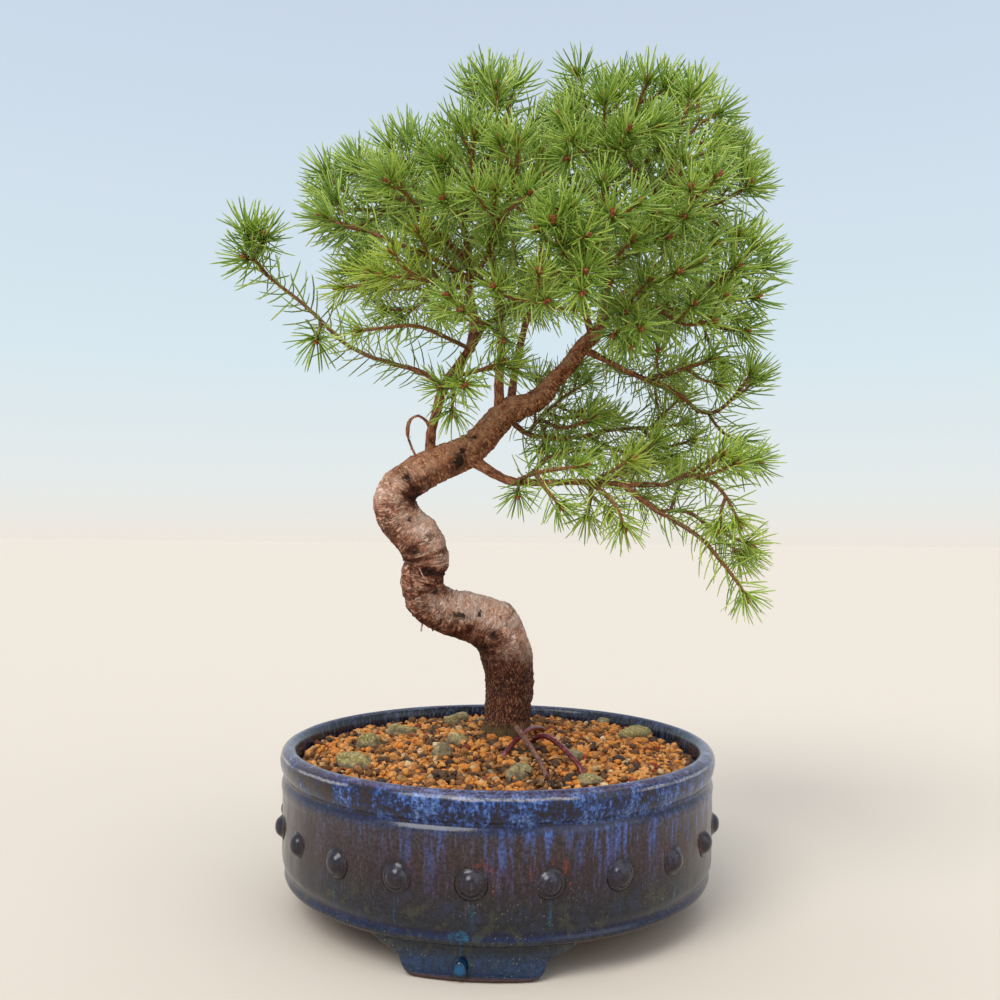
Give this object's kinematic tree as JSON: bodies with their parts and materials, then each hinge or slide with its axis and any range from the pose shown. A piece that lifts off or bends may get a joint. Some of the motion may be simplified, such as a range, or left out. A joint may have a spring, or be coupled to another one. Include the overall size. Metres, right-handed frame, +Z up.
{
  "type": "potted bonsai tree",
  "caption": "White spruce bonsai with a curved trunk and open needle sprays, in a round glazed drum pot with dome studs and three cloud feet.",
  "frame": {"origin": "on the ground under the middle of the pot, which is the middle of the bounding box's bottom", "axes": "+Z up along the pot's axis, -Y towards the front of the tree, +X to its right as seen from the front"},
  "size_m": [0.234, 0.1829, 0.3695],
  "materials": {
    "pot_glaze": "glossy runny glaze, cobalt over brown with turquoise drips",
    "soil_grains": "dry matt mineral grains, tan with brown and grey",
    "screen_plastic": "matt moulded plastic",
    "bark": "rough flaking bark, grey-tan above and red-brown below",
    "wire_copper": "glossy burgundy coat on copper wire",
    "stick_wood": "dull weathered wood",
    "needles": "waxy living needles on red-brown twigs, satin"
  },
  "bodies": {
    "root": {"pot": "pot_glaze", "soil": "soil_grains", "drain_screen_left": "screen_plastic", "drain_screen_right": "screen_plastic", "trunk_and_limbs": "bark", "tie_wire_left": "wire_copper", "tie_wire_right": "wire_copper", "stick": "stick_wood", "spray_left_tip": "needles", "spray_left_lower": "needles", "spray_left_middle": "needles", "spray_left_outer": "needles", "spray_left_crown": "needles", "spray_left_crest": "needles", "spray_left_burst": "needles", "spray_back_left_low": "needles", "spray_back_left_high": "needles", "spray_crest_left": "needles", "spray_upright_burst": "needles", "spray_middle_front": "needles", "spray_middle_crest": "needles", "spray_middle_burst": "needles", "spray_middle_low": "needles", "spray_middle_left_low": "needles", "spray_second_top": "needles", "spray_front_high": "needles", "spray_front_low": "needles", "spray_top_burst": "needles", "spray_leader_tip": "needles", "spray_top_right": "needles", "spray_top_right_back": "needles", "spray_top_right_outer": "needles", "spray_top_middle": "needles", "spray_right_high": "needles", "spray_right_inner": "needles", "spray_right_burst": "needles", "spray_centre_burst": "needles", "spray_centre_right": "needles", "spray_right_tip": "needles", "spray_right_edge": "needles", "spray_right_front": "needles", "spray_right_front_low": "needles", "spray_leader_drop": "needles", "spray_back_right": "needles", "spray_back_right_low": "needles", "spray_back_top": "needles", "spray_back_middle": "needles", "spray_second_back": "needles", "spray_right_long_tip": "needles", "spray_right_long_high": "needles", "spray_right_long_back": "needles", "spray_right_middle_tip": "needles", "spray_right_middle_back": "needles", "spray_right_low_tip": "needles", "spray_low_tip": "needles", "spray_low_side": "needles", "spray_low_yellow": "needles", "spray_low_back": "needles", "spray_low_inner": "needles", "spray_left_inner": "needles"}
  },
  "joints": []
}
